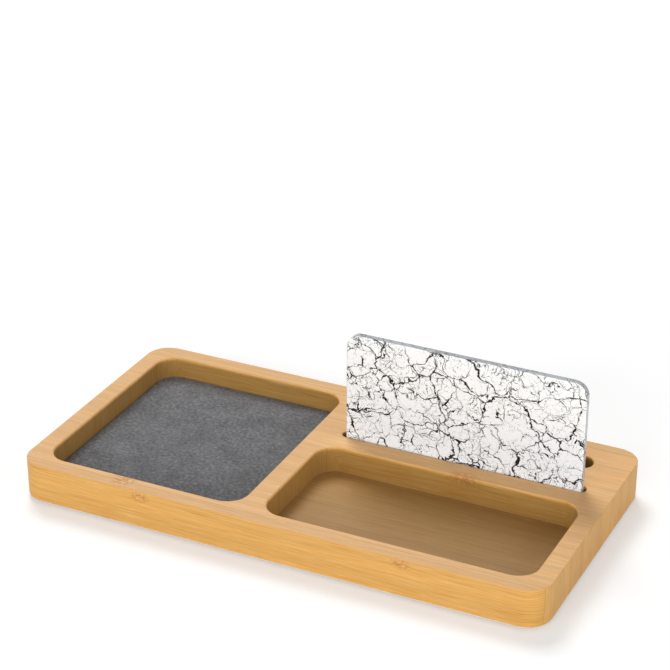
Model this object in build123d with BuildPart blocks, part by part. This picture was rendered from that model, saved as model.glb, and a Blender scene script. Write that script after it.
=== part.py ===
from build123d import *
from math import cos, radians, sin
import os

os.makedirs("parts", exist_ok=True)

# Charging station organizer, in millimetres. +X is to the right, +Y to the back and +Z up, and the
# origin is on the table under the middle of the tray. The tray is milled from one bamboo board. Its
# left pocket charges what lies on the felt, from works that are let into the board from below.

# Bamboo board
tray_depth = 102
tray_height = 14.8
tray_corner = 9
tray_round = 0.4
tray_chamfer = 0.6
rim = 7.2
divider = 8
pocket_corner = 8
pocket_chamfer = 0.4
slot_chamfer = 0.25
charge_pocket_width = 77.8
open_pocket_width = 99.8
coil_web = 1.2
cut_overrun = 1

# Ceramic plate and its upright slot
plate_width = 90.4
plate_height = 50
plate_thickness = 3.2
plate_corner = 5
plate_chamfer = 0.4
plate_gap_front = 0.4
plate_gap_back = 1.2
plate_gap_end = 1.7
plate_shift = 0.4
plate_slot_web = 1.9

# Leaning slot behind the plate, in which a device stands on edge
lean_slot_length = 86
lean_slot_width = 9
lean_angle = 9.6
lean_slot_web = 1.4
back_strip = 10.7
middle_strip = 11
front_strip = 8

# Felt pad
felt_thickness = 2
felt_gap = 0.2

# Rubber feet, let into the underside
foot_diameter = 9
foot_height = 1.5
foot_seat = 0.5
foot_inset = 8
foot_gap = 0.1

# Charging coil: a flat spiral of ribbon wire on a ferrite plate
coil_inner_radius = 10.7
coil_half_turns = 13
wire_width = 1.2
wire_height = 0.8
wire_gap = 0.5
lead_start = 0.3
lead_ramp = 2.7
lead_turn = 3.6
ferrite_thickness = 0.8
ferrite_margin = 3.8
ferrite_corner = 2
notch_gap = 0.4
adhesive_thickness = 0.2
foam_thickness = 0.8
foam_margin = 2
coil_recess_gap = 1

# Control board, its socket and what is soldered to it
board_width = 42
board_depth = 30
board_thickness = 0.8
board_lift = 0.8
board_gap = 0.3
board_wall = 1
board_corner = 1
board_headroom = 1.9
board_screw_inset = 2.7
land_diameter = 4.4
pad_inset = 3
inner_pad_inset = 6
outer_pad_inset = 11.5
socket_width = 8.94
socket_height = 3.2
socket_length = 7.35
socket_wall = 0.3
socket_setback = 0.3
socket_gap = 0.2
tongue_margin = 0.23
insert_gap = 0.05
insert_base = 2
blade_width = 6.7
blade_thickness = 0.7
blade_length = 4.6
rear_wall = 2.2
chip_size = 5
chip_height = 0.9
transistor_size = 3.3
transistor_height = 0.8
transistor_pitch = 4.6
capacitor_length = 4.5
capacitor_width = 3.2
capacitor_height = 1.5
capacitor_pitch_x = 5.6
capacitor_pitch_y = 4.4
inductor_size = 6
inductor_corner = 1.5
inductor_height = 1.6
passive_length = 1.6
passive_width = 0.8
passive_height = 0.6
passive_pitch_x = 2.8
passive_pitch_y = 2.2
passive_columns = 2
passive_rows = 5

# Places on the board, as shares of its width and depth from its middle
capacitor_shares = (-0.12, -0.2)
transistor_shares = (0.17, -0.22)
chip_shares = (0.1, 0.16)
inductor_shares = (-0.16, 0.2)
passive_shares = (0.35, 0.1)

# Base cover and screws
cover_thickness = 1
cover_gap = 0.15
cover_corner = 4
cover_margin = 5.5
cover_margin_back = 3.4
cover_ledge = 0.8
cover_screw_inset = 3
cover_screw_length = 4
cover_head_radius = 1.8
cover_shank_radius = 0.95
board_screw_length = 3.4
board_head_radius = 1.6
board_head_height = 0.6
board_shank_radius = 0.75
screw_gap = 0.05
drive_length = 1.9
drive_width = 0.4
drive_depth = 0.3

# Heights, counted from the table
underside = foot_height - foot_seat
cover_top = underside + cover_thickness
ferrite_bottom = cover_top + foam_thickness
wire_bottom = ferrite_bottom + ferrite_thickness
wire_top = wire_bottom + wire_height
recess_top = wire_top + adhesive_thickness
pocket_floor = recess_top + coil_web
tray_top = underside + tray_height
board_bottom = cover_top + board_lift
board_top = board_bottom + board_thickness
board_recess_top = board_top + board_headroom
plate_floor = board_recess_top + plate_slot_web
socket_middle = board_top + socket_height / 2
socket_recess_top = board_top + socket_height + socket_gap

# Plan of the pockets and slots
tray_length = rim + charge_pocket_width + divider + open_pocket_width + rim
back = tray_depth / 2
pocket_left = rim - tray_length / 2
pocket_front = rim - back
divider_left = pocket_left + charge_pocket_width
open_left = divider_left + divider
open_right = open_left + open_pocket_width
slot_middle = (open_left + open_right) / 2
lean_slot_run = lean_slot_width / cos(radians(lean_angle))
lean_slot_back = back - back_strip
lean_slot_middle = lean_slot_back - lean_slot_run / 2
plate_slot_back = lean_slot_back - lean_slot_run - middle_strip
plate_slot_width = plate_gap_front + plate_thickness + plate_gap_back
plate_slot_front = plate_slot_back - plate_slot_width
plate_back = plate_slot_back - plate_gap_back
plate_middle = slot_middle + plate_shift
open_back = plate_slot_front - front_strip
charge_middle = (pocket_left + divider_left) / 2

# Plan of the coil, whose turns run out from the middle of the left pocket
coil_pitch = wire_width + wire_gap
coil_outer_radius = coil_inner_radius + coil_half_turns * coil_pitch / 2
ferrite_side = 2 * (coil_outer_radius + wire_width / 2 + ferrite_margin)
coil_recess_side = ferrite_side + 2 * coil_recess_gap

# Plan of the control board, which lies behind the open pocket with its tongue at the back edge
board_recess_left = divider_left + board_wall
board_left = board_recess_left + board_gap
board_right = board_left + board_width
board_recess_right = board_right + board_gap
socket_mouth = back - socket_setback
socket_rear = socket_mouth - socket_length
socket_recess_back = back - rear_wall
tongue_width = socket_width + 2 * tongue_margin
tongue_back = socket_recess_back - board_gap
socket_x = board_left + tongue_width / 2
socket_recess_width = tongue_width + 2 * board_gap
board_back = socket_rear
board_front = board_back - board_depth
board_x = (board_left + board_right) / 2
board_y = (board_front + board_back) / 2
pad_x = board_left + pad_inset
inner_pad_y = board_front + inner_pad_inset
outer_pad_y = board_front + outer_pad_inset
board_screw_points = [
    (board_left + board_screw_inset, board_front + board_screw_inset),
    (board_right - board_screw_inset, board_back - board_screw_inset),
]

# Plan of the base cover: a wide part over the coil and a deeper one over the board
cover_front = -coil_recess_side / 2 - cover_margin
coil_cover_left = charge_middle - coil_recess_side / 2 - cover_margin
coil_cover_back = coil_recess_side / 2 + cover_margin
board_cover_left = board_recess_left - cover_margin
board_cover_back = board_back + board_gap + cover_margin_back
cover_right = board_recess_right + cover_margin
cover_screw_points = [
    (coil_cover_left + cover_screw_inset, cover_front + cover_screw_inset),
    (coil_cover_left + cover_screw_inset, coil_cover_back - cover_screw_inset),
    (cover_right - cover_screw_inset, cover_front + cover_screw_inset),
    (cover_right - cover_screw_inset, board_cover_back - cover_screw_inset),
]


# Primitives stand on the point where they are placed
from_below = (Align.CENTER, Align.CENTER, Align.MIN)


def span(left, right, front, rear, mode=Mode.ADD):
    """Draws a rectangle between four edges in the open sketch."""
    with Locations(((left + right) / 2, (front + rear) / 2)):
        Rectangle(right - left, rear - front, mode=mode)


def cover_outline(gap):
    """Draws the base cover's outline, with its tongue under the socket, grown by a gap."""
    for left, rear in ((coil_cover_left, coil_cover_back), (board_cover_left, board_cover_back)):
        with Locations(((left + cover_right) / 2, (cover_front + rear) / 2)):
            RectangleRounded(cover_right - left + 2 * gap, rear - cover_front + 2 * gap, cover_corner + gap)
    ledge = socket_recess_width / 2 + cover_ledge + gap
    span(socket_x - ledge, socket_x + ledge, board_y, socket_recess_back + cover_ledge + gap)


# Bamboo board: the block with its pockets and slots
with BuildPart() as tray:
    with BuildSketch(Plane.XY.offset(underside)):
        RectangleRounded(tray_length, tray_depth, tray_corner)
    extrude(amount=tray_height)
    fillet(tray.faces().sort_by(Axis.Z)[-1].edges(), tray_round)
    chamfer(tray.faces().sort_by(Axis.Z)[0].edges(), tray_chamfer)

    with BuildSketch(Plane.XY.offset(tray_top)):
        with Locations((charge_middle, 0)):
            RectangleRounded(charge_pocket_width, tray_depth - 2 * rim, pocket_corner)
        with Locations((slot_middle, (pocket_front + open_back) / 2)):
            RectangleRounded(open_pocket_width, open_back - pocket_front, pocket_corner)
    extrude(amount=pocket_floor - tray_top, mode=Mode.SUBTRACT)
    chamfer(tray.edges(Select.LAST).group_by(Axis.Z)[-1], pocket_chamfer)

    with BuildSketch(Plane.XY.offset(tray_top)):
        with Locations((slot_middle, (plate_slot_front + plate_slot_back) / 2)):
            SlotOverall(plate_width + 2 * plate_gap_end, plate_slot_width)
    extrude(amount=plate_floor - tray_top, mode=Mode.SUBTRACT)
    chamfer(tray.edges(Select.LAST).group_by(Axis.Z)[-1], slot_chamfer)

    lean_plane = Plane((slot_middle, lean_slot_middle, tray_top)).rotated((-lean_angle, 0, 0))
    lean_drop = tray_top - board_recess_top - lean_slot_web - lean_slot_width / 2 * sin(radians(lean_angle))
    with BuildSketch(lean_plane.offset(cut_overrun)):
        SlotOverall(lean_slot_length, lean_slot_width)
    extrude(amount=-cut_overrun - lean_drop / cos(radians(lean_angle)), mode=Mode.SUBTRACT)
    chamfer(tray.edges(Select.LAST).group_by(Axis.Z)[-1], slot_chamfer)

    # Recesses milled from below for the cover, the coil, its leads and the board
    with BuildSketch(Plane.XY.offset(underside)):
        cover_outline(cover_gap)
    extrude(amount=cover_thickness, mode=Mode.SUBTRACT)
    with BuildSketch(Plane.XY.offset(underside)):
        with Locations((charge_middle, 0)):
            RectangleRounded(coil_recess_side, coil_recess_side, ferrite_corner)
        lead_margin = lead_turn - coil_recess_gap
        lead_back = max(outer_pad_y, coil_outer_radius) + lead_margin
        span(charge_middle, board_x, -coil_inner_radius - lead_margin, lead_back)
    extrude(amount=recess_top - underside, mode=Mode.SUBTRACT)
    with BuildSketch(Plane.XY.offset(underside)):
        span(board_recess_left, board_recess_right, board_front - board_gap, board_back + board_gap)
        span(board_recess_left, board_recess_left + socket_recess_width, board_y, socket_recess_back)
    extrude(amount=board_top - underside, mode=Mode.SUBTRACT)
    with BuildSketch(Plane.XY.offset(board_top)):
        span(board_recess_left, board_recess_right, board_front - board_gap, board_back + board_gap)
        with Locations(*board_screw_points):
            Circle(land_diameter / 2, mode=Mode.SUBTRACT)
    extrude(amount=board_headroom, mode=Mode.SUBTRACT)
    with BuildSketch(Plane.XY.offset(board_top)):
        socket_recess_left = socket_x - socket_recess_width / 2
        socket_recess_right = socket_x + socket_recess_width / 2
        span(socket_recess_left, socket_recess_right, socket_rear - board_gap, socket_recess_back)
    extrude(amount=socket_recess_top - board_top, mode=Mode.SUBTRACT)
    with BuildSketch(Plane.XZ.offset(-back)):
        with Locations((socket_x, socket_middle)):
            SlotOverall(socket_width + 2 * socket_gap, socket_height + 2 * socket_gap)
    extrude(amount=rear_wall, mode=Mode.SUBTRACT)

    # Seats of the feet and pilot holes of the screws
    foot_points = [
        (side * (tray_length / 2 - foot_inset), end * (back - foot_inset)) for side in (-1, 1) for end in (-1, 1)
    ]
    with BuildSketch(Plane.XY.offset(underside)):
        with Locations(*foot_points):
            Circle(foot_diameter / 2 + foot_gap)
    extrude(amount=foot_seat, mode=Mode.SUBTRACT)
    with BuildSketch(Plane.XY.offset(underside)):
        with Locations(*cover_screw_points):
            Circle(cover_shank_radius + screw_gap)
    extrude(amount=cover_screw_length + screw_gap, mode=Mode.SUBTRACT)
    with BuildSketch(Plane.XY.offset(board_bottom)):
        with Locations(*board_screw_points):
            Circle(board_shank_radius + screw_gap)
    extrude(amount=board_screw_length + screw_gap, mode=Mode.SUBTRACT)

# Felt pad on the floor of the left pocket
with BuildPart() as felt:
    with BuildSketch(Plane.XY.offset(pocket_floor)):
        with Locations((charge_middle, 0)):
            RectangleRounded(
                charge_pocket_width - 2 * felt_gap, tray_depth - 2 * (rim + felt_gap), pocket_corner - felt_gap
            )
    extrude(amount=felt_thickness)

# Ceramic plate, which stands on the floor of its slot and lifts out
with BuildPart() as plate:
    with BuildSketch(Plane.XZ.offset(-plate_back)):
        with Locations((plate_middle, plate_floor + plate_height / 2)):
            RectangleRounded(plate_width, plate_height, plate_corner)
    extrude(amount=plate_thickness)
    chamfer(plate.faces().filter_by(Axis.Y).edges(), plate_chamfer)

# Base cover, with countersunk holes
with BuildPart() as cover:
    with BuildSketch(Plane.XY.offset(underside)):
        cover_outline(0)
    extrude(amount=cover_thickness)
    with Locations(*[Location((x, y, underside), (180, 0, 0)) for x, y in cover_screw_points]):
        CounterSinkHole(cover_shank_radius + screw_gap, cover_head_radius + screw_gap, cover_thickness)

# Countersunk cover screws, flush with the underside
with BuildPart() as cover_screws:
    with Locations(*[(x, y, underside) for x, y in cover_screw_points]):
        Cylinder(cover_shank_radius, cover_screw_length, align=from_below)
        cone_height = cover_head_radius - cover_shank_radius
        Cone(cover_head_radius, cover_shank_radius, cone_height, align=from_below)
        Box(drive_length, drive_width, drive_depth, align=from_below, mode=Mode.SUBTRACT)
        Box(drive_width, drive_length, drive_depth, align=from_below, mode=Mode.SUBTRACT)

# Foam that presses the coil up against the wood
with BuildPart() as foam:
    with BuildSketch(Plane.XY.offset(cover_top)):
        with Locations((charge_middle, 0)):
            Rectangle(ferrite_side - 2 * foam_margin, ferrite_side - 2 * foam_margin)
    extrude(amount=foam_thickness)

# Ferrite plate, with a notch through which the coil's inner lead leaves
with BuildPart() as ferrite:
    with BuildSketch(Plane.XY.offset(ferrite_bottom)):
        with Locations((charge_middle, 0)):
            RectangleRounded(ferrite_side, ferrite_side, ferrite_corner)
        notch_front = -coil_inner_radius - wire_width / 2 - notch_gap
        notch_back = -coil_inner_radius + wire_width / 2 + notch_gap
        ferrite_right = charge_middle + ferrite_side / 2
        span(charge_middle - notch_gap, ferrite_right, notch_front, notch_back, Mode.SUBTRACT)
    extrude(amount=ferrite_thickness)

# Coil: half turns that grow by half a pitch each, its outer lead straight on to the board, and its
# inner lead down through the notch, under the turns and up again
with BuildPart() as coil:
    ramp_out = charge_middle + ferrite_side / 2 + lead_start
    ramp_end = ramp_out + lead_ramp
    turn_x = (ramp_end + board_left) / 2
    with BuildSketch(Plane.XY.offset(wire_bottom)):
        with BuildLine():
            for turn in range(coil_half_turns):
                side = 1 if turn % 2 else -1
                start = coil_inner_radius + turn * coil_pitch / 2
                bulge = start + coil_pitch / 4
                ThreePointArc(
                    (charge_middle, side * start),
                    (charge_middle + side * bulge, -side * coil_pitch / 4),
                    (charge_middle, -side * (start + coil_pitch / 2)),
                )
            Polyline(
                (charge_middle, coil_outer_radius),
                (ramp_out, coil_outer_radius),
                (turn_x, outer_pad_y),
                (pad_x, outer_pad_y),
            )
        trace(line_width=wire_width)
        with BuildLine():
            FilletPolyline(
                (ramp_end, -coil_inner_radius),
                (turn_x, -coil_inner_radius),
                (turn_x, inner_pad_y),
                (pad_x, inner_pad_y),
                radius=(turn_x - ramp_end) / 2,
            )
        trace(line_width=wire_width)
    extrude(amount=wire_height)
    wire_level = (wire_bottom + wire_top) / 2
    notch_level = wire_level - wire_height
    with BuildSketch(Plane.XZ.offset(coil_inner_radius)):
        with BuildLine():
            Polyline(
                (charge_middle, wire_level),
                (charge_middle + lead_start, wire_level),
                (charge_middle + lead_start + lead_ramp, notch_level),
                (ramp_out, notch_level),
                (ramp_end, wire_level),
                (ramp_end + lead_start, wire_level),
            )
        trace(line_width=wire_height)
    extrude(amount=wire_width / 2, both=True)

# Sheet that sticks the coil to the wood
with BuildPart() as adhesive:
    with BuildSketch(Plane.XY.offset(wire_top)):
        with Locations((charge_middle, 0)):
            Rectangle(ferrite_side, ferrite_side)
    extrude(amount=adhesive_thickness)

# Control board, with its tongue under the socket
with BuildPart() as board:
    with BuildSketch(Plane.XY.offset(board_bottom)):
        with Locations((board_x, board_y)):
            RectangleRounded(board_width, board_depth, board_corner)
        span(board_left, board_left + tongue_width, board_y, tongue_back)
        with Locations(*board_screw_points):
            Circle(board_shank_radius + screw_gap, mode=Mode.SUBTRACT)
    extrude(amount=board_thickness)

# Wafer-head screws that hold the board to its lands
with BuildPart() as board_screws:
    with Locations(*[(x, y, board_bottom - board_head_height) for x, y in board_screw_points]):
        Cylinder(board_head_radius, board_head_height, align=from_below)
        Cylinder(board_shank_radius, board_head_height + board_screw_length, align=from_below)
        Box(drive_length, drive_width, drive_depth, align=from_below, mode=Mode.SUBTRACT)
        Box(drive_width, drive_length, drive_depth, align=from_below, mode=Mode.SUBTRACT)

# Socket: a folded steel shell round an insert that carries the contact blade
with BuildPart() as socket_shell:
    with BuildSketch(Plane.XZ.offset(-socket_mouth)):
        with Locations((socket_x, socket_middle)):
            SlotOverall(socket_width, socket_height)
            SlotOverall(socket_width - 2 * socket_wall, socket_height - 2 * socket_wall, mode=Mode.SUBTRACT)
    extrude(amount=socket_length)

with BuildPart() as socket_insert:
    insert_trim = 2 * (socket_wall + insert_gap)
    with BuildSketch(Plane.XZ.offset(-socket_rear)):
        with Locations((socket_x, socket_middle)):
            SlotOverall(socket_width - insert_trim, socket_height - insert_trim)
    extrude(amount=-insert_base)
    with BuildSketch(Plane.XZ.offset(-socket_rear)):
        with Locations((socket_x, socket_middle)):
            Rectangle(blade_width, blade_thickness)
    extrude(amount=-insert_base - blade_length)


def board_place(shares):
    """Gives the point on the board at these shares of its width and depth from its middle."""
    return (board_x + shares[0] * board_width, board_y + shares[1] * board_depth)


# Parts soldered to the board
with BuildPart() as chip:
    with BuildSketch(Plane.XY.offset(board_top)):
        with Locations(board_place(chip_shares)):
            Rectangle(chip_size, chip_size)
    extrude(amount=chip_height)

with BuildPart() as transistors:
    with BuildSketch(Plane.XY.offset(board_top)):
        with Locations(board_place(transistor_shares)):
            with GridLocations(transistor_pitch, transistor_pitch, 2, 2):
                Rectangle(transistor_size, transistor_size)
    extrude(amount=transistor_height)

with BuildPart() as capacitors:
    with BuildSketch(Plane.XY.offset(board_top)):
        with Locations(board_place(capacitor_shares)):
            with GridLocations(capacitor_pitch_x, capacitor_pitch_y, 2, 2):
                Rectangle(capacitor_length, capacitor_width)
    extrude(amount=capacitor_height)

with BuildPart() as inductor:
    with BuildSketch(Plane.XY.offset(board_top)):
        with Locations(board_place(inductor_shares)):
            RectangleRounded(inductor_size, inductor_size, inductor_corner)
    extrude(amount=inductor_height)

with BuildPart() as passives:
    with BuildSketch(Plane.XY.offset(board_top)):
        with Locations(board_place(passive_shares)):
            with GridLocations(passive_pitch_x, passive_pitch_y, passive_columns, passive_rows):
                Rectangle(passive_length, passive_width)
    extrude(amount=passive_height)

pieces = {
    "tray_body": tray,
    "felt_pad": felt,
    "crackle_plate": plate,
    "base_cover": cover,
    "cover_screws": cover_screws,
    "foam_spacer": foam,
    "ferrite_shield": ferrite,
    "charging_coil": coil,
    "coil_adhesive": adhesive,
    "control_board": board,
    "board_screws": board_screws,
    "usb_socket_shell": socket_shell,
    "usb_socket_insert": socket_insert,
    "controller_chip": chip,
    "bridge_transistors": transistors,
    "resonant_capacitors": capacitors,
    "input_inductor": inductor,
    "board_passives": passives,
}

# Rubber feet, one in each corner seat
foot_names = ["foot_front_left", "foot_rear_left", "foot_front_right", "foot_rear_right"]
for foot_name, foot_point in zip(foot_names, foot_points):
    with BuildPart() as foot:
        with BuildSketch():
            with Locations(foot_point):
                Circle(foot_diameter / 2)
        extrude(amount=foot_height)
    pieces[foot_name] = foot

for name, piece in pieces.items():
    piece.part.label = name
    export_step(piece.part, f"parts/{name}.step")

print("coil: outer radius", round(coil_outer_radius, 2), "gap between turns", wire_gap)
print("tray: open pocket depth", round(open_back - pocket_front, 2), "pocket floor", round(pocket_floor, 2))
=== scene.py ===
import bmesh
import bpy
import math
from mathutils import Matrix, Vector, noise


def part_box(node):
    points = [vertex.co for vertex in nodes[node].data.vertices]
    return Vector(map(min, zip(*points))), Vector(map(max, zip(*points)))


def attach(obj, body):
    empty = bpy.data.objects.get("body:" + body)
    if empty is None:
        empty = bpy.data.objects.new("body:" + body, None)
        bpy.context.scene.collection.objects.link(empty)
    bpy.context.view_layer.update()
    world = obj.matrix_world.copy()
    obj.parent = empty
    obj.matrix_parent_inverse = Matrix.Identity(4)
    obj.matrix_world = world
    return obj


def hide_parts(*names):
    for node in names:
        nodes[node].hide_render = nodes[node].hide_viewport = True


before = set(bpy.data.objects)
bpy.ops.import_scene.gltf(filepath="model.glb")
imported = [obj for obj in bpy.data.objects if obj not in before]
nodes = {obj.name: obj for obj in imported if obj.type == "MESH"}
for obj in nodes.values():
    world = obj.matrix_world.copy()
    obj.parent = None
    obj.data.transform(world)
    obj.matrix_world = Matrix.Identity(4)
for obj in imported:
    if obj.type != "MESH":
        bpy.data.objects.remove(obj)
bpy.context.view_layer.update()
bpy.context.scene.view_settings.view_transform = "Standard"


# Bamboo board
# The tray is milled from one board of caramelised bamboo: strips about 10 mm wide, glued on edge,
# with their fibres along the tray. It is sanded, its edges are broken, and it is oiled to a satin.
def linear(hex_colour):
    """Turns an sRGB hex colour to the linear colour that the shader works in."""
    channels = [int(hex_colour[place:place + 2], 16) / 255 for place in (1, 3, 5)]
    return [
        value / 12.92 if value <= 0.04045 else ((value + 0.055) / 1.055) ** 2.4 for value in channels
    ] + [1]


def add(owner, kind, inputs=None, **settings):
    """Adds a node to a material or the world with its settings, and links or sets its inputs."""
    node = owner.node_tree.nodes.new("ShaderNode" + kind)
    for name, value in settings.items():
        setattr(node, name, value)
    for socket, value in (inputs or {}).items():
        if isinstance(value, bpy.types.NodeSocket):
            owner.node_tree.links.new(value, node.inputs[socket])
        else:
            node.inputs[socket].default_value = value
    return node


def finish_for(name):
    """Starts a named material and gives it with its shader and its object coordinates."""
    material = bpy.data.materials.new(name)
    material.use_nodes = True
    shader = material.node_tree.nodes["Principled BSDF"]
    place = add(material, "TexCoord").outputs["Object"]
    return material, shader, place


def stops(ramp, *colours):
    """Gives a colour ramp its stops, as (position, hex colour) pairs."""
    for position, _ in colours[2:]:
        ramp.color_ramp.elements.new(position)
    for element, (position, colour) in zip(ramp.color_ramp.elements, sorted(colours)):
        element.position = position
        element.color = linear(colour)
    return ramp.outputs["Color"]


def dress(node, material):
    """Gives every face of a node one material."""
    node.data.materials.clear()
    node.data.materials.append(material)


# Oiled bamboo looks warm and silky: fine fibres streak each strip in its own tone, and the oil leaves
# a soft sheen that mirrors nothing clearly
bamboo, bamboo_shader, place = finish_for("oiled_caramelised_bamboo")
bamboo_shader.inputs["Roughness"].default_value = 0.5
bamboo_shader.inputs["Specular IOR Level"].default_value = 0.25
split = add(bamboo, "SeparateXYZ", {0: place})
facing = add(bamboo, "TexCoord").outputs["Normal"]
facing = add(bamboo, "VectorMath", {0: facing}, operation="ABSOLUTE")
facing = add(bamboo, "SeparateXYZ", {0: facing.outputs[0]})

# Strips: each has its own tone and its own stretch of fibres, with a thin glue line between
strip_width = 0.01033
strip = add(
    bamboo, "TexVoronoi", {"W": split.outputs["Y"], "Scale": 1 / strip_width, "Randomness": 0},
    voronoi_dimensions="1D",
)
strip_tone = add(bamboo, "SeparateColor", {0: strip.outputs["Color"]})
glue = add(
    bamboo, "TexVoronoi", {"W": split.outputs["Y"], "Scale": 1 / strip_width, "Randomness": 0},
    voronoi_dimensions="1D", feature="DISTANCE_TO_EDGE",
)
glue_line = add(bamboo, "MapRange", {"Value": glue.outputs["Distance"], 1: 0.008, 2: 0.02, 3: 1, 4: 0})

# Knuckles: where a strip crosses a node of the cane, its fibres knot for a few millimetres. Each has
# its middle and its reach to each side. A size such as 0.01 / 7 is seven to the centimetre, 1.4 mm.
knuckles = (
    ((-0.05, -0.051, 0.0136), (0.0045, 0.002, 0.0022)),
    ((0.0494, -0.051, 0.0138), (0.0045, 0.002, 0.0022)),
    ((-0.0591, -0.0462, 0.0158), (0.005, 0.005, 0.002)),
    ((0.048, 0.0074, 0.0146), (0.007, 0.004, 0.0028)),
)
swirl_size = 0.01 / 7
swirl_push = 0.006
knot = None
for knuckle, reach in knuckles:
    near = add(bamboo, "VectorMath", {0: place, 1: knuckle}, operation="SUBTRACT")
    near = add(bamboo, "VectorMath", {0: near.outputs[0], 1: reach}, operation="DIVIDE")
    near = add(bamboo, "VectorMath", {0: near.outputs[0]}, operation="LENGTH")
    near = add(bamboo, "MapRange", {"Value": near.outputs["Value"], 1: 1.1, 2: 0.3})
    if knot:
        near = add(bamboo, "Math", {0: knot.outputs[0], 1: near.outputs[0]}, operation="MAXIMUM")
    knot = near
swirl = add(bamboo, "TexNoise", {"Vector": place, "Scale": 1 / swirl_size, "Detail": 1})
swirl = add(bamboo, "VectorMath", {0: swirl.outputs["Color"], 1: (-0.5, -0.5, -0.5)})
knot_push = add(bamboo, "Math", {0: knot.outputs[0], 1: swirl_push}, operation="MULTIPLY")
swirl = add(bamboo, "VectorMath", {0: swirl.outputs[0], "Scale": knot_push.outputs[0]}, operation="SCALE")

# Fibres: they wander slowly sideways, show as upright lines on the ends of the board, and run round
# its corners without a break in the outermost strips
wander_length, wander_width = 0.1 / 1.4, 0.1 / 5.5
wander_push = 0.003
strip_shift = 0.4
end_stretch = 0.05
outer_seam = 4.5 * strip_width
wander_scale = (1 / wander_length, 1 / wander_width, 1 / wander_width)
wander = add(bamboo, "Mapping", {"Vector": place, "Scale": wander_scale})
wander = add(bamboo, "TexNoise", {"Vector": wander.outputs[0], "Scale": 1, "Detail": 2})
wander = add(bamboo, "VectorMath", {0: wander.outputs["Color"], 1: (-0.5, -0.5, -0.5)})
wander = add(
    bamboo, "VectorMath", {0: wander.outputs[0], 1: (0, wander_push, wander_push)}, operation="MULTIPLY"
)
fibre_place = add(bamboo, "VectorMath", {0: place, 1: wander.outputs[0]})
fibre_place = add(bamboo, "VectorMath", {0: fibre_place.outputs[0], 1: swirl.outputs[0]})
fibre_split = add(bamboo, "SeparateXYZ", {0: fibre_place.outputs[0]})
along = add(
    bamboo, "Math", {0: strip_tone.outputs[0], 1: strip_shift, 2: fibre_split.outputs["X"]},
    operation="MULTIPLY_ADD",
)
across = add(bamboo, "Math", {0: split.outputs["Y"]}, operation="ABSOLUTE")
inner_strips = add(bamboo, "Math", {0: across.outputs[0], 1: outer_seam}, operation="LESS_THAN")
end_mask = add(bamboo, "MapRange", {"Value": facing.outputs["X"], 1: 0.45, 2: 0.55})
end_mask = add(bamboo, "Math", {0: end_mask.outputs[0], 1: inner_strips.outputs[0]}, operation="MULTIPLY")
top_mask = add(bamboo, "MapRange", {"Value": facing.outputs["Z"], 1: 0.4, 2: 0.9})
level = add(bamboo, "Math", {0: inner_strips.outputs[0], 1: top_mask.outputs[0]}, operation="MAXIMUM")
sideways = add(bamboo, "Math", {0: fibre_split.outputs["Y"], 1: level.outputs[0]}, operation="MULTIPLY")
upright = add(bamboo, "MapRange", {"Value": end_mask.outputs[0], 3: 1, 4: end_stretch})
up = add(bamboo, "Math", {0: fibre_split.outputs["Z"], 1: upright.outputs[0]}, operation="MULTIPLY")
fibre_place = add(bamboo, "CombineXYZ", {0: along.outputs[0], 1: sideways.outputs[0], 2: up.outputs[0]})

# Grain: fibre bundles, the slow bands that they gather in, and short pale dashes. A real fibre is
# 0.1 mm wide or less, and the bundles are drawn at 0.42 mm so that they show.
fibre_length, fibre_width = 0.02, 0.00042
band_length, band_width = 0.125, 0.01 / 2.6
dash_length, dash_width = 0.00625, 0.01 / 28
fibre_scale = (1 / fibre_length, 1 / fibre_width, 1 / fibre_width)
fibres = add(bamboo, "Mapping", {"Vector": fibre_place.outputs[0], "Scale": fibre_scale})
fibres = add(bamboo, "TexNoise", {"Vector": fibres.outputs[0], "Scale": 1, "Detail": 3, "Roughness": 0.6})
band_scale = (1 / band_length, 1 / band_width, 1 / band_width)
bands = add(bamboo, "Mapping", {"Vector": fibre_place.outputs[0], "Scale": band_scale})
bands = add(bamboo, "TexNoise", {"Vector": bands.outputs[0], "Scale": 1, "Detail": 2})
dash_scale = (1 / dash_length, 1 / dash_width, 1 / dash_width)
dashes = add(bamboo, "Mapping", {"Vector": fibre_place.outputs[0], "Scale": dash_scale})
dashes = add(bamboo, "TexNoise", {"Vector": dashes.outputs[0], "Scale": 1, "Detail": 1})

# Colour: rubbed sides and drier ends, each in the fibres' own range, and a top painted paler and greyer as
# a painted sheen
side_colour = stops(
    add(bamboo, "ValToRGB", {0: fibres.outputs["Fac"]}),
    (0.28, "#c98d3e"), (0.42, "#d9a253"), (0.56, "#dfab61"), (0.72, "#e8bd79"),
)
# Painted sheen: the top's stops are paler and less saturated, standing in for white surroundings mirrored
# at a low angle
top_sheen_colour = stops(
    add(bamboo, "ValToRGB", {0: fibres.outputs["Fac"]}),
    (0.28, "#d29e65"), (0.44, "#d9a86f"), (0.56, "#dcae77"), (0.72, "#e2b985"),
)
end_colour = stops(
    add(bamboo, "ValToRGB", {0: fibres.outputs["Fac"]}),
    (0.3, "#d49f57"), (0.45, "#daa65d"), (0.6, "#dfac64"), (0.72, "#e3b671"),
)
colour = add(bamboo, "Mix", {0: end_mask.outputs[0], 6: side_colour, 7: end_colour}, data_type="RGBA")
colour = add(
    bamboo, "Mix", {0: top_mask.outputs[0], 6: colour.outputs[2], 7: top_sheen_colour}, data_type="RGBA"
)
tone = add(bamboo, "MapRange", {"Value": strip_tone.outputs[1], 3: 0.95, 4: 1.04})
band_tone = add(bamboo, "MapRange", {"Value": bands.outputs["Fac"], 1: 0.32, 2: 0.68, 3: 0.94, 4: 1.05})
tone = add(bamboo, "Math", {0: tone.outputs[0], 1: band_tone.outputs[0]}, operation="MULTIPLY")
dash_tone = add(bamboo, "MapRange", {"Value": dashes.outputs["Fac"], 1: 0.6, 2: 0.72, 3: 1, 4: 1.12})
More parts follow.
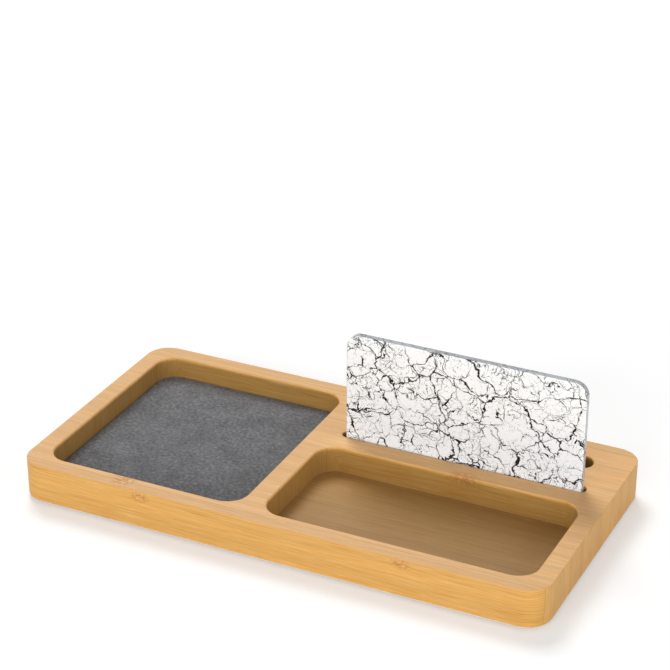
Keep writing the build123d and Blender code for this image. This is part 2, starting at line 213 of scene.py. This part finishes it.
tone = add(bamboo, "Math", {0: tone.outputs[0], 1: dash_tone.outputs[0]}, operation="MULTIPLY")
glue_tone = add(bamboo, "MapRange", {"Value": glue_line.outputs[0], 3: 1, 4: 0.85})
tone = add(bamboo, "Math", {0: tone.outputs[0], 1: glue_tone.outputs[0]}, operation="MULTIPLY")

# Knuckle marks: reddish lines that show the wood between them
knot_line_size = (0.01 / 7, 0.01 / 11, 0.01 / 17)
knot_lines = add(bamboo, "Mapping", {"Vector": place, "Scale": [1 / size for size in knot_line_size]})
knot_lines = add(bamboo, "TexNoise", {"Vector": knot_lines.outputs[0], "Scale": 1, "Detail": 1})
knot_colour = stops(
    add(bamboo, "ValToRGB", {0: knot_lines.outputs["Fac"]}),
    (0.4, "#e9b475"), (0.48, "#c98f52"), (0.6, "#a4602c"),
)
knot_mark = add(bamboo, "Math", {0: knot.outputs[0], 1: 0.55}, operation="MULTIPLY")
colour = add(
    bamboo, "Mix", {0: knot_mark.outputs[0], 6: colour.outputs[2], 7: knot_colour}, data_type="RGBA"
)

# Painted shade in the recesses: milled walls and floors are tinted darker and greyer, and the slots darken
# with depth. They lie inside the rounded outline, under the top and over the underside.
tray_low, tray_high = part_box("tray_body")
tray_top = tray_high[2]
tray_corner = 0.009
skin = 0.0015
base_skin = 0.0007
shade_start, shade_depth = 0.0005, 0.006
core = (tray_high[0] - tray_corner, tray_high[1] - tray_corner, 1)
slots_left, slots_front = -0.0055, 0.0145
outline = add(bamboo, "VectorMath", {0: place}, operation="ABSOLUTE")
outline = add(bamboo, "VectorMath", {0: outline.outputs[0], 1: core}, operation="SUBTRACT")
outline = add(bamboo, "VectorMath", {0: outline.outputs[0], 1: (0, 0, 0)}, operation="MAXIMUM")
outline = add(bamboo, "VectorMath", {0: outline.outputs[0]}, operation="LENGTH")
inside = add(
    bamboo, "MapRange",
    {"Value": outline.outputs["Value"], 1: tray_corner - skin / 3, 2: tray_corner - skin},
)
depth = add(bamboo, "MapRange", {"Value": split.outputs["Z"], 1: tray_top - skin / 5, 2: tray_top - skin})
recess_shade_mask = add(bamboo, "Math", {0: inside.outputs[0], 1: depth.outputs[0]}, operation="MULTIPLY")
over_base = add(
    bamboo, "Math", {0: split.outputs["Z"], 1: tray_low[2] + base_skin}, operation="GREATER_THAN"
)
recess_shade_mask = add(bamboo, "Math", {0: recess_shade_mask.outputs[0], 1: over_base.outputs[0]}, operation="MULTIPLY")
slot_side = add(bamboo, "Math", {0: split.outputs["Y"], 1: slots_front}, operation="GREATER_THAN")
slot_right = add(bamboo, "Math", {0: split.outputs["X"], 1: slots_left}, operation="GREATER_THAN")
slot_side = add(bamboo, "Math", {0: slot_side.outputs[0], 1: slot_right.outputs[0]}, operation="MULTIPLY")
# Painted shade: in the slots the wood darkens with depth under the top
slot_depth_shade = add(
    bamboo, "MapRange",
    {"Value": split.outputs["Z"], 1: tray_top - shade_start, 2: tray_top - shade_depth, 3: 0.75, 4: 0.25},
)
recess_depth_shade = add(bamboo, "Mix", {0: slot_side.outputs[0], 2: 1, 3: slot_depth_shade.outputs[0]})
recess_depth_shade = add(bamboo, "Mix", {0: recess_shade_mask.outputs[0], 2: 1, 3: recess_depth_shade.outputs[0]})
tone = add(bamboo, "Math", {0: tone.outputs[0], 1: recess_depth_shade.outputs[0]}, operation="MULTIPLY")
# Painted shade: walls and floors under the top are multiplied by a grey tint, the floors a little warmer
recess_shade_tint = add(
    bamboo, "Mix", {0: top_mask.outputs[0], 6: linear("#c3c4bf"), 7: linear("#c0bba3")}, data_type="RGBA"
)
recess_shaded_colour = add(
    bamboo, "Mix", {0: 1, 6: colour.outputs[2], 7: recess_shade_tint.outputs[2]},
    data_type="RGBA", blend_type="MULTIPLY",
)
colour = add(
    bamboo, "Mix", {0: recess_shade_mask.outputs[0], 6: colour.outputs[2], 7: recess_shaded_colour.outputs[2]},
    data_type="RGBA",
)
colour = add(bamboo, "VectorMath", {0: colour.outputs[2], "Scale": tone.outputs[0]}, operation="SCALE")
bamboo.node_tree.links.new(colour.outputs[0], bamboo_shader.inputs["Base Color"])
bamboo_bump = add(bamboo, "Bump", {"Height": fibres.outputs["Fac"], "Strength": 0.12, "Distance": 0.0002})
bamboo.node_tree.links.new(bamboo_bump.outputs[0], bamboo_shader.inputs["Normal"])
dress(nodes["tray_body"], bamboo)


# Coil, ferrite, film and foam
# The charging coil is wound flat from enamelled copper ribbon and baked to a disc. A film sticks it
# to the thin wood over it, a sintered ferrite plate backs it, and a foam sheet presses all of it up.
def grained(name, grain, dark, light, roughness, rise=0.0001, metallic=0.0):
    """Makes a named material with a grain in colour and relief, drawn as coarse as it needs to show."""
    material, shader, place = finish_for(name)
    speck = add(material, "TexNoise", {"Vector": place, "Scale": 1 / grain, "Detail": 3, "Roughness": 0.6})
    colour = stops(add(material, "ValToRGB", {0: speck.outputs["Fac"]}), (0.35, dark), (0.65, light))
    relief = add(material, "Bump", {"Height": speck.outputs["Fac"], "Strength": 0.3, "Distance": rise})
    material.node_tree.links.new(colour, shader.inputs["Base Color"])
    material.node_tree.links.new(relief.outputs[0], shader.inputs["Normal"])
    shader.inputs["Roughness"].default_value = roughness
    shader.inputs["Metallic"].default_value = metallic
    return material, shader, place, colour


def paint_over(material, shader, under, mask, hex_colour):
    """Paints one colour over another where a mask is 1, and gives the result."""
    over = add(material, "Mix", {0: mask, 6: under, 7: linear(hex_colour)}, data_type="RGBA")
    material.node_tree.links.new(over.outputs[2], shader.inputs["Base Color"])
    return over.outputs[2]


def cut_sheet(name, node, corner, squares, ease, dip):
    """Cuts a soft sheet to a node's place, with round corners, eased edges and an uneven face."""
    corner_cuts = 7
    sharp_edge = 1
    dips_a_metre = 180
    low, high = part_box(node)
    size, middle = high - low, (low + high) / 2
    sheet = bmesh.new()
    bmesh.ops.create_grid(sheet, x_segments=squares, y_segments=squares, size=0.5)
    bmesh.ops.scale(sheet, vec=(size.x, size.y, 1), verts=sheet.verts)
    for quarter in range(4):
        for cut in range(corner_cuts):
            turn = Matrix.Rotation(math.radians(90 * quarter + 90 * (cut + 0.5) / corner_cuts), 3, "Z")
            away = turn @ Vector((1, 0, 0))
            pivot = Vector((
                math.copysign(size.x / 2 - corner, away.x), math.copysign(size.y / 2 - corner, away.y), 0
            ))
            bmesh.ops.bisect_plane(
                sheet, geom=sheet.verts[:] + sheet.edges[:] + sheet.faces[:],
                plane_co=pivot + away * corner, plane_no=away, clear_outer=True,
            )
    lifted = bmesh.ops.extrude_face_region(sheet, geom=sheet.faces[:])["geom"]
    lifted = [item for item in lifted if isinstance(item, bmesh.types.BMVert)]
    bmesh.ops.translate(sheet, vec=(0, 0, size.z), verts=lifted)
    bmesh.ops.recalc_face_normals(sheet, faces=sheet.faces)
    rim = [
        edge for edge in sheet.edges
        if edge.calc_face_angle(0) > sharp_edge and min(vert.co.z for vert in edge.verts) > size.z / 2
    ]
    bmesh.ops.bevel(sheet, geom=rim, offset=ease, segments=3, profile=0.5, affect="EDGES", material=-1)
    bmesh.ops.translate(sheet, vec=(middle.x, middle.y, low.z), verts=sheet.verts)
    for vert in sheet.verts:
        if vert.co.z > middle.z:
            vert.co.z -= dip * (0.5 + 0.5 * noise.noise(vert.co * dips_a_metre))
    data = bpy.data.meshes.new(name)
    sheet.to_mesh(data)
    sheet.free()
    data.shade_smooth()
    piece = bpy.data.objects.new(name, data)
    bpy.context.collection.objects.link(piece)
    return piece


# Film: pale and waxy, with faint wrinkles about a millimetre apart
dress(nodes["coil_adhesive"], grained("double_sided_film", 0.0012, "#cfc8b2", "#e2dcc9", 0.4)[0])

# Copper under clear enamel: warm and glossy, with dark lines between its strands. Real ones are
# finer, and are drawn 0.2 mm apart so that they show.
strand_pitch = 0.0002
coil_low, coil_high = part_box("ferrite_shield")
coil_middle = (coil_low + coil_high) / 2 * Vector((1, 1, 0))
copper, copper_shader, place, copper_colour = grained(
    "enamelled_copper_ribbon", 0.0009, "#a65a2c", "#c67c48", 0.34, metallic=1.0
)
copper_shader.inputs["Coat Weight"].default_value = 0.4
from_middle = add(copper, "VectorMath", {0: place, 1: coil_middle}, operation="SUBTRACT")
from_middle = add(copper, "VectorMath", {0: from_middle.outputs[0], 1: (1, 1, 0)}, operation="MULTIPLY")
ring = add(copper, "VectorMath", {0: from_middle.outputs[0]}, operation="LENGTH")
strand = add(
    copper, "TexNoise", {"W": ring.outputs["Value"], "Scale": 1 / strand_pitch, "Detail": 1},
    noise_dimensions="1D",
)
strand_dark = add(copper, "MapRange", {"Value": strand.outputs["Fac"], 1: 0.4, 2: 0.6, 3: 0.5, 4: 0})
paint_over(copper, copper_shader, copper_colour, strand_dark.outputs[0], "#7c3f1c")
dress(nodes["charging_coil"], copper)

# Sintered ferrite: dull, dark grey and faintly speckled, like fired clay
dress(nodes["ferrite_shield"], grained("sintered_ferrite", 0.0005, "#2e2e31", "#4b4b4f", 0.62)[0])

# Foam: matt black, with its cut cells as fine pits
foam = cut_sheet("foam_sheet", "foam_spacer", corner=0.0006, squares=40, ease=0.00025, dip=0.00008)
dress(foam, grained("closed_cell_foam", 0.0004, "#1c1c1e", "#3a3a3d", 0.9, rise=0.0003)[0])
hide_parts("foam_spacer")
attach(foam, "tray")


# Control board and what is soldered to it
# Green solder mask over copper traces on glass laminate, whose sawn edge is tan. The black parts are
# moulded epoxy, the capacitors fired ceramic, and every part has tinned ends.
trace_field = 0.01 / 1.4
traces_in_field = 9
via_pitch = 0.003125

# Solder mask: a glossy dark green that is paler over the traces, with gold vias
laminate, laminate_shader, place, mask_green = grained(
    "green_solder_mask_laminate", 0.002, "#0e5a36", "#137044", 0.38, rise=0.00002
)
board_flat = add(laminate, "VectorMath", {0: place, 1: (1, 1, 0)}, operation="MULTIPLY")
traces = add(
    laminate, "TexVoronoi", {"Vector": board_flat.outputs[0], "Scale": 1 / trace_field},
    distance="CHEBYCHEV",
)
traces = add(
    laminate, "Math", {0: traces.outputs["Distance"], 1: 2 * math.pi * traces_in_field},
    operation="MULTIPLY",
)
traces = add(laminate, "Math", {0: traces.outputs[0]}, operation="COSINE")
traces = add(laminate, "Math", {0: traces.outputs[0], 1: 0.55}, operation="GREATER_THAN")
mask_green = paint_over(laminate, laminate_shader, mask_green, traces.outputs[0], "#1f8f5b")
vias = add(laminate, "TexVoronoi", {"Vector": board_flat.outputs[0], "Scale": 1 / via_pitch})
via_dots = add(laminate, "Math", {0: vias.outputs["Distance"], 1: 0.12}, operation="LESS_THAN")
mask_green = paint_over(laminate, laminate_shader, mask_green, via_dots.outputs[0], "#c8a75c")
sawn = add(laminate, "TexCoord").outputs["Normal"]
sawn = add(laminate, "VectorMath", {0: sawn}, operation="ABSOLUTE")
sawn = add(laminate, "SeparateXYZ", {0: sawn.outputs[0]})
sawn = add(laminate, "Math", {0: sawn.outputs["Z"], 1: 0.5}, operation="LESS_THAN")
paint_over(laminate, laminate_shader, mask_green, sawn.outputs[0], "#c2ae72")
dress(nodes["control_board"], laminate)


def tinned_ends(material, shader, colour, place, node, columns, pitch, reach):
    """Tins both ends of every part in a row of columns, seen from the middle of their node."""
    low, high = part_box(node)
    column = add(material, "SeparateXYZ", {0: place})
    column = add(material, "Math", {0: column.outputs["X"], 1: (low.x + high.x) / 2}, operation="SUBTRACT")
    if columns > 1:
        column = add(material, "Math", {0: column.outputs[0]}, operation="ABSOLUTE")
        column = add(material, "Math", {0: column.outputs[0], 1: pitch / 2}, operation="SUBTRACT")
    column = add(material, "Math", {0: column.outputs[0]}, operation="ABSOLUTE")
    end = add(material, "Math", {0: column.outputs[0], 1: reach}, operation="GREATER_THAN")
    paint_over(material, shader, colour, end.outputs[0], "#c9cacc")
    material.node_tree.links.new(end.outputs[0], shader.inputs["Metallic"])


# Parts: dull epoxy and ferrite in near black, tan capacitors, and bright ends. Each row gives the
# node, its material, two colours, its columns, their pitch, and where the tin starts on a part.
for node, material_name, dark, light, columns, pitch, reach in (
    ("controller_chip", "moulded_epoxy_chip", "#161617", "#232325", 1, 0, 0.00235),
    ("bridge_transistors", "moulded_epoxy_transistor", "#19191a", "#29292b", 2, 0.0046, 0.0014),
    ("resonant_capacitors", "fired_capacitor_ceramic", "#8d6f4c", "#a98a63", 2, 0.0056, 0.00175),
    ("input_inductor", "pressed_inductor_ferrite", "#303033", "#47474b", 1, 0, 0.0026),
    ("board_passives", "glazed_resistor_ceramic", "#1c1c20", "#33333a", 2, 0.0028, 0.0005),
):
    part, part_shader, place, part_colour = grained(material_name, 0.0004, dark, light, 0.45, rise=0.00004)
    tinned_ends(part, part_shader, part_colour, place, node, columns, pitch, reach)
    dress(nodes[node], part)


# Socket
# A folded shell of nickel-plated steel, polished by the folding, round a moulded black insert. The
# blade inside carries gold-plated contact strips at half a millimetre's pitch on both faces.
contact_pitch = 0.0005
contacts_reach = 0.003
blade_reach = 0.0005

# Nickel plate: a bright, even grey with blurred reflections
nickel = grained("nickel_plated_steel", 0.0006, "#b2b2b4", "#bfbfc1", 0.28, rise=0.00002, metallic=1.0)[0]
dress(nodes["usb_socket_shell"], nickel)

# Insert: a plain, half-dull black with rows of gold strips on its blade
shell_low, shell_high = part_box("usb_socket_shell")
shell_middle = (shell_low + shell_high) / 2 * Vector((1, 0, 1))
insert, insert_shader, place, insert_colour = grained(
    "moulded_black_insert", 0.0003, "#101011", "#1c1c1d", 0.5, rise=0.00002
)
blade = add(insert, "VectorMath", {0: place, 1: shell_middle}, operation="SUBTRACT")
blade = add(insert, "SeparateXYZ", {0: blade.outputs[0]})
contact_row = add(
    insert, "Math", {0: blade.outputs["X"], 1: 2 * math.pi / contact_pitch}, operation="MULTIPLY"
)
contact_row = add(insert, "Math", {0: contact_row.outputs[0]}, operation="COSINE")
contact_row = add(insert, "Math", {0: contact_row.outputs[0], 1: 0.1}, operation="GREATER_THAN")
blade_width = add(insert, "Math", {0: blade.outputs["X"]}, operation="ABSOLUTE")
blade_width = add(insert, "Math", {0: blade_width.outputs[0], 1: contacts_reach}, operation="LESS_THAN")
blade_height = add(insert, "Math", {0: blade.outputs["Z"]}, operation="ABSOLUTE")
blade_height = add(insert, "Math", {0: blade_height.outputs[0], 1: blade_reach}, operation="LESS_THAN")
contacts = add(
    insert, "Math", {0: contact_row.outputs[0], 1: blade_width.outputs[0]}, operation="MULTIPLY"
)
contacts = add(insert, "Math", {0: contacts.outputs[0], 1: blade_height.outputs[0]}, operation="MULTIPLY")
paint_over(insert, insert_shader, insert_colour, contacts.outputs[0], "#d8b45a")
insert.node_tree.links.new(contacts.outputs[0], insert_shader.inputs["Metallic"])
dress(nodes["usb_socket_insert"], insert)


# Base cover and screws
# The cover is moulded ABS with a spark-eroded matt texture. Its countersunk screws are black zinc
# plated, and the wafer-head screws that hold the board are nickel plated.

# Matt ABS: soft black that scatters light off a pebbled skin. The real pebbles are about 0.1 mm, and
# are drawn at 0.6 mm so that they show.
dress(nodes["base_cover"], grained("matt_moulded_abs", 0.0006, "#111113", "#2a2a2e", 0.55, rise=0.0002)[0])

# Black zinc: a dark grey metal with a dull, slightly cloudy shine
black_zinc = grained("black_zinc_plated_steel", 0.0004, "#38393c", "#55565a", 0.36, metallic=1.0)[0]
dress(nodes["cover_screws"], black_zinc)
dress(nodes["board_screws"], nickel)


# Rubber feet
# Die-cut rubber discs with glue on their backs, pressed into their seats. The rubber is dull and dark,
# with a fine ground texture that gives no highlight.
rubber = grained("ground_rubber", 0.0006, "#1d1d1f", "#2d2d30", 0.88, rise=0.0002)[0]
for foot in ("foot_front_left", "foot_rear_left", "foot_front_right", "foot_rear_right"):
    dress(nodes[foot], rubber)


# Felt pad
# Grey melange wool felt, 2 mm thick, die cut to the left pocket and glued to its floor. The blades
# press its edge down a little, and its face is soft and uneven.
felt = cut_sheet("felt_surface", "felt_pad", corner=0.0078, squares=64, ease=0.0005, dip=0.00016)

# Melange felt: dark and light hairs matted to a mottled grey, with a faint bloom at grazing angles.
# Real hairs are under 0.05 mm, and are drawn at 0.67 mm so that they show.
blotch_size = 0.01 / 1.1
clump_size = 0.00125
hair_size = 0.01 / 15
felt_wool, felt_shader, place = finish_for("grey_melange_wool_felt")
felt_shader.inputs["Roughness"].default_value = 0.95
felt_shader.inputs["Sheen Weight"].default_value = 0.25
blotches = add(felt_wool, "TexNoise", {"Vector": place, "Scale": 1 / blotch_size, "Detail": 3})
hairs = add(
    felt_wool, "TexNoise",
    {"Vector": place, "Scale": 1 / hair_size, "Detail": 4, "Roughness": 0.7, "Distortion": 1.5},
)
clumps = add(
    felt_wool, "TexNoise", {"Vector": place, "Scale": 1 / clump_size, "Detail": 3, "Roughness": 0.6}
)
melange = add(felt_wool, "Mix", {0: 0.68, 2: blotches.outputs["Fac"], 3: clumps.outputs["Fac"]})
melange = add(felt_wool, "Mix", {0: 0.45, 2: melange.outputs[0], 3: hairs.outputs["Fac"]})
felt_colour = stops(
    add(felt_wool, "ValToRGB", {0: melange.outputs[0]}),
    (0.39, "#38383b"), (0.5, "#5a5a5d"), (0.61, "#7e7e81"),
)
felt_wool.node_tree.links.new(felt_colour, felt_shader.inputs["Base Color"])
felt_bump = add(felt_wool, "Bump", {"Height": hairs.outputs["Fac"], "Strength": 0.5, "Distance": 0.0003})
felt_wool.node_tree.links.new(felt_bump.outputs[0], felt_shader.inputs["Normal"])
dress(felt, felt_wool)
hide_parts("felt_pad")
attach(felt, "tray")


# Crackle plate
# A slip-cast plate with a white glaze that is crazed on purpose: ink is rubbed into the cracks, wide
# ones first and finer nets later. Its edges are painted grey as shade, and its face is painted a darker,
# cooler white towards the foot as shade.
glaze_coats = (
    # cell size, half the narrowest and the widest crack in millimetres, share that shows, darkness
    (16.0, 0.09, 0.4, 0.88, 1.0),
    (8.0, 0.0, 0.32, 0.85, 1.0),
    (4.4, 0.0, 0.25, 0.8, 0.96),
    (2.3, 0.0, 0.15, 0.8, 0.85),
    (1.3, 0.0, 0.07, 0.65, 0.5),
)
bend_size, bend_push = 0.01 / 1.7, 0.006
jag_size, jag_push = 0.01 / 7, 0.0018
snap_size, snap_push = 0.01 / 4.8, 0.0006
patch_size = 0.1 / 7.5
beside_reach = 1.4
coat_shift = (0.11, 0.07, 0.05)
foot_fade = 0.015

# Crackle glaze: a clean white gloss under a web of black lines, which swell, thin out and break off
glaze, glaze_shader, place = finish_for("white_crackle_glaze")
glaze_shader.inputs["Roughness"].default_value = 0.22
glaze_split = add(glaze, "SeparateXYZ", {0: place})
glaze_across = add(
    glaze, "Math", {0: glaze_split.outputs["X"], 1: glaze_split.outputs["Y"]}, operation="ADD"
)
glaze_up = add(glaze, "Math", {0: glaze_split.outputs["Z"], 1: glaze_split.outputs["Y"]}, operation="ADD")
glaze_flat = add(glaze, "CombineXYZ", {0: glaze_across.outputs[0], 1: glaze_up.outputs[0]})

# Cracks bend slowly, jag, and snap aside where they cross a flaw
bend = add(glaze, "TexNoise", {"Vector": glaze_flat.outputs[0], "Scale": 1 / bend_size, "Detail": 1})
bend = add(glaze, "VectorMath", {0: bend.outputs["Color"], 1: (-0.5, -0.5, -0.5)})
bend = add(glaze, "VectorMath", {0: bend.outputs[0], "Scale": bend_push}, operation="SCALE")
jag = add(glaze, "TexNoise", {"Vector": glaze_flat.outputs[0], "Scale": 1 / jag_size, "Detail": 2})
jag = add(glaze, "VectorMath", {0: jag.outputs["Color"], 1: (-0.5, -0.5, -0.5)})
jag = add(glaze, "VectorMath", {0: jag.outputs[0], "Scale": jag_push}, operation="SCALE")
bent = add(glaze, "VectorMath", {0: glaze_flat.outputs[0], 1: bend.outputs[0]})
bent = add(glaze, "VectorMath", {0: bent.outputs[0], 1: jag.outputs[0]})
snap = add(
    glaze, "TexVoronoi", {"Vector": bent.outputs[0], "Scale": 1 / snap_size}, voronoi_dimensions="2D"
)
snap = add(glaze, "VectorMath", {0: snap.outputs["Color"], 1: (-0.5, -0.5, -0.5)})
snap = add(glaze, "VectorMath", {0: snap.outputs[0], "Scale": snap_push}, operation="SCALE")
bent = add(glaze, "VectorMath", {0: bent.outputs[0], 1: snap.outputs[0]})

# Nets: each coat has its own, which swells and thins along its lines about once a cell. The fine
# ones show in patches and within 1.4 mm of a wide crack.
patches = add(glaze, "TexNoise", {"Vector": glaze_flat.outputs[0], "Scale": 1 / patch_size, "Detail": 2})
patches = add(glaze, "MapRange", {"Value": patches.outputs["Fac"], 1: 0.4, 2: 0.6, 3: 0.1, 4: 1})
cracks = None
beside = None
for coat, (cell, narrow, wide, share, dark) in enumerate(glaze_coats):
    shifted = add(glaze, "VectorMath", {0: bent.outputs[0], 1: [step * coat for step in coat_shift]})
    net = add(
        glaze, "TexVoronoi", {"Vector": shifted.outputs[0], "Scale": 1000 / cell},
        feature="DISTANCE_TO_EDGE", voronoi_dimensions="2D",
    )
    swell = add(glaze, "TexNoise", {"Vector": shifted.outputs[0], "Scale": 1300 / cell, "Detail": 1})
    swell = add(
        glaze, "MapRange",
        {"Value": swell.outputs["Fac"], 1: 0.72 - 0.42 * share, 2: 0.72, 3: narrow / cell, 4: wide / cell},
    )
    if coat > 1:
        spread = add(glaze, "Math", {0: patches.outputs[0], 1: beside.outputs[0]}, operation="MAXIMUM")
        swell = add(glaze, "Math", {0: swell.outputs[0], 1: spread.outputs[0]}, operation="MULTIPLY")
    else:
        halo = add(
            glaze, "MapRange",
            {"Value": net.outputs["Distance"], 1: 0, 2: beside_reach / cell, 3: 0.9, 4: 0},
        )
        if beside:
            halo = add(glaze, "Math", {0: halo.outputs[0], 1: beside.outputs[0]}, operation="MAXIMUM")
        beside = halo
    line = add(glaze, "Math", {0: net.outputs["Distance"], 1: swell.outputs[0]}, operation="LESS_THAN")
    line = add(glaze, "Math", {0: line.outputs[0], 1: dark}, operation="MULTIPLY")
    if cracks:
        line = add(glaze, "Math", {0: cracks.outputs[0], 1: line.outputs[0]}, operation="MAXIMUM")
    cracks = line

# Edges: the cracks fade on them, and the edges are painted grey as shade, the top edge darkest. The face
# is painted a darker, cooler white towards the foot as shade, fading out 15 mm under the top.
glaze_facing = add(glaze, "TexCoord").outputs["Normal"]
glaze_facing = add(glaze, "VectorMath", {0: glaze_facing}, operation="ABSOLUTE")
glaze_facing = add(glaze, "SeparateXYZ", {0: glaze_facing.outputs[0]})
edge_mask = add(glaze, "MapRange", {"Value": glaze_facing.outputs["Y"], 1: 0.3, 2: 0.6, 3: 1, 4: 0})
edge_fade = add(glaze, "MapRange", {"Value": edge_mask.outputs[0], 3: 1, 4: 0.6})
cracks = add(glaze, "Math", {0: cracks.outputs[0], 1: edge_fade.outputs[0]}, operation="MULTIPLY")
plate_low, plate_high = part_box("crackle_plate")
# Painted shade: the face is darker and bluer towards the foot, as if shaded and lit by less warm bounce
foot_shade = add(
    glaze, "MapRange", {"Value": glaze_split.outputs["Z"], 1: plate_low[2], 2: plate_high[2] - foot_fade}
)
glaze_face = add(
    glaze, "Mix", {0: foot_shade.outputs[0], 6: linear("#e9f1fb"), 7: linear("#fdffff")}, data_type="RGBA"
)
# Painted shade: edge faces are grey, darker on the top edge than on the sides
glaze_edge_shade = add(
    glaze, "Mix", {0: glaze_facing.outputs["Z"], 6: linear("#c6c8cc"), 7: linear("#adb0b4")},
    data_type="RGBA",
)
glaze_body = add(
    glaze, "Mix", {0: edge_mask.outputs[0], 6: glaze_face.outputs[2], 7: glaze_edge_shade.outputs[2]},
    data_type="RGBA",
)
glaze_colour = add(
    glaze, "Mix", {0: cracks.outputs[0], 6: glaze_body.outputs[2], 7: linear("#171718")}, data_type="RGBA"
)
glaze.node_tree.links.new(glaze_colour.outputs[2], glaze_shader.inputs["Base Color"])
dress(nodes["crackle_plate"], glaze)


# Floor, light and camera
# A white sweep under soft light, with the camera at the photograph's place. The floor glows for the
# camera and in reflections alone, more so far off, and so shows white and keeps the tray's shadow.
floor_reach = 6
glow_near, glow_far = 0.3, 1.2
underside_gap = 0.004
floor_mesh = bmesh.new()
bmesh.ops.create_grid(floor_mesh, x_segments=1, y_segments=1, size=floor_reach)
floor_data = bpy.data.meshes.new("studio_floor")
floor_mesh.to_mesh(floor_data)
floor_mesh.free()
floor = bpy.data.objects.new("studio_floor", floor_data)
bpy.context.collection.objects.link(floor)

# Studio sweep: an even matt white with no sheen
sweep, sweep_shader, place = finish_for("white_studio_sweep")
sweep_shader.inputs["Base Color"].default_value = linear("#d8d8d8")
sweep_shader.inputs["Roughness"].default_value = 0.9
sweep_shader.inputs["Specular IOR Level"].default_value = 0
sweep_shader.inputs["Emission Color"].default_value = (1, 1, 1, 1)
ray = add(sweep, "LightPath")
seen = add(
    sweep, "Math", {0: ray.outputs["Is Camera Ray"], 1: ray.outputs["Is Glossy Ray"]}, operation="MAXIMUM"
)
seen = add(sweep, "Math", {0: seen.outputs[0], 1: ray.outputs["Is Transmission Ray"]}, operation="MAXIMUM")
far_off = add(sweep, "VectorMath", {0: place}, operation="LENGTH")
glow = add(
    sweep, "MapRange", {"Value": far_off.outputs["Value"], 1: glow_near, 2: glow_far, 3: 0.38, 4: 1}
)
seen = add(sweep, "Math", {0: seen.outputs[0], 1: glow.outputs[0]}, operation="MULTIPLY")
sweep.node_tree.links.new(seen.outputs[0], sweep_shader.inputs["Emission Strength"])

# Seen from below, the floor is clear. It also lets through the short rays that leave the underside,
# so that the lamp below lights that, and no others, so that the shadow at the tray's foot stays.
under_floor = add(sweep, "NewGeometry").outputs["Backfacing"]
close_over = add(sweep, "Math", {0: ray.outputs["Ray Length"], 1: underside_gap}, operation="LESS_THAN")
straight = add(sweep, "Math", {0: ray.outputs["Diffuse Depth"], 1: 0.5}, operation="LESS_THAN")
lit_below = add(sweep, "Math", {0: close_over.outputs[0], 1: straight.outputs[0]}, operation="MULTIPLY")
open_floor = add(sweep, "Math", {0: under_floor, 1: lit_below.outputs[0]}, operation="MAXIMUM")
open_floor = add(sweep, "Math", {0: 1, 1: open_floor.outputs[0]}, operation="SUBTRACT")
sweep.node_tree.links.new(open_floor.outputs[0], sweep_shader.inputs["Alpha"])
dress(floor, sweep)

# The world is white to the camera and in reflections, and gives the object a quarter of that
world = bpy.data.worlds.new("studio")
bpy.context.scene.world = world
world.use_nodes = True
background = world.node_tree.nodes["Background"]
background.inputs["Color"].default_value = (1, 1, 1, 1)
world_ray = add(world, "LightPath")
world_seen = add(
    world, "Math", {0: world_ray.outputs["Is Camera Ray"], 1: world_ray.outputs["Is Glossy Ray"]},
    operation="MAXIMUM",
)
world_level = add(world, "MapRange", {"Value": world_seen.outputs[0], 3: 0.24, 4: 1})
world.node_tree.links.new(world_level.outputs[0], background.inputs["Strength"])

# Softboxes, each with its place, its size in metres and its power in watts, all turned to the tray
for lamp_name, lamp_place, lamp_size, lamp_power in (
    ("key_softbox", (-0.6, 0.7, 1.3), 0.7, 16.0),
    ("front_softbox", (-0.15, -2.4, 0.4), 1.8, 56.0),
    ("side_softbox", (1.3, -0.3, 0.4), 1.0, 7.0),
    ("under_softbox", (0, 0, -1.2), 0.3, 11.0),
):
    lamp_data = bpy.data.lights.new(lamp_name, "AREA")
    lamp_data.size = lamp_size
    lamp_data.energy = lamp_power
    lamp = bpy.data.objects.new(lamp_name, lamp_data)
    lamp.location = lamp_place
    lamp.rotation_euler = (-Vector(lamp_place)).to_track_quat("-Z", "Y").to_euler()
    bpy.context.collection.objects.link(lamp)

camera_data = bpy.data.cameras.new("camera")
camera_data.sensor_width = 36
camera_data.lens = 116.1288
camera_data.clip_start = 0.01
camera_data.clip_end = 50
camera = bpy.data.objects.new("camera", camera_data)
camera.location = (0.28949, -0.60522, 0.40188)
camera.rotation_euler = (math.radians(63.3105), math.radians(-0.1151), math.radians(25.5364))
bpy.context.collection.objects.link(camera)
bpy.context.scene.camera = camera
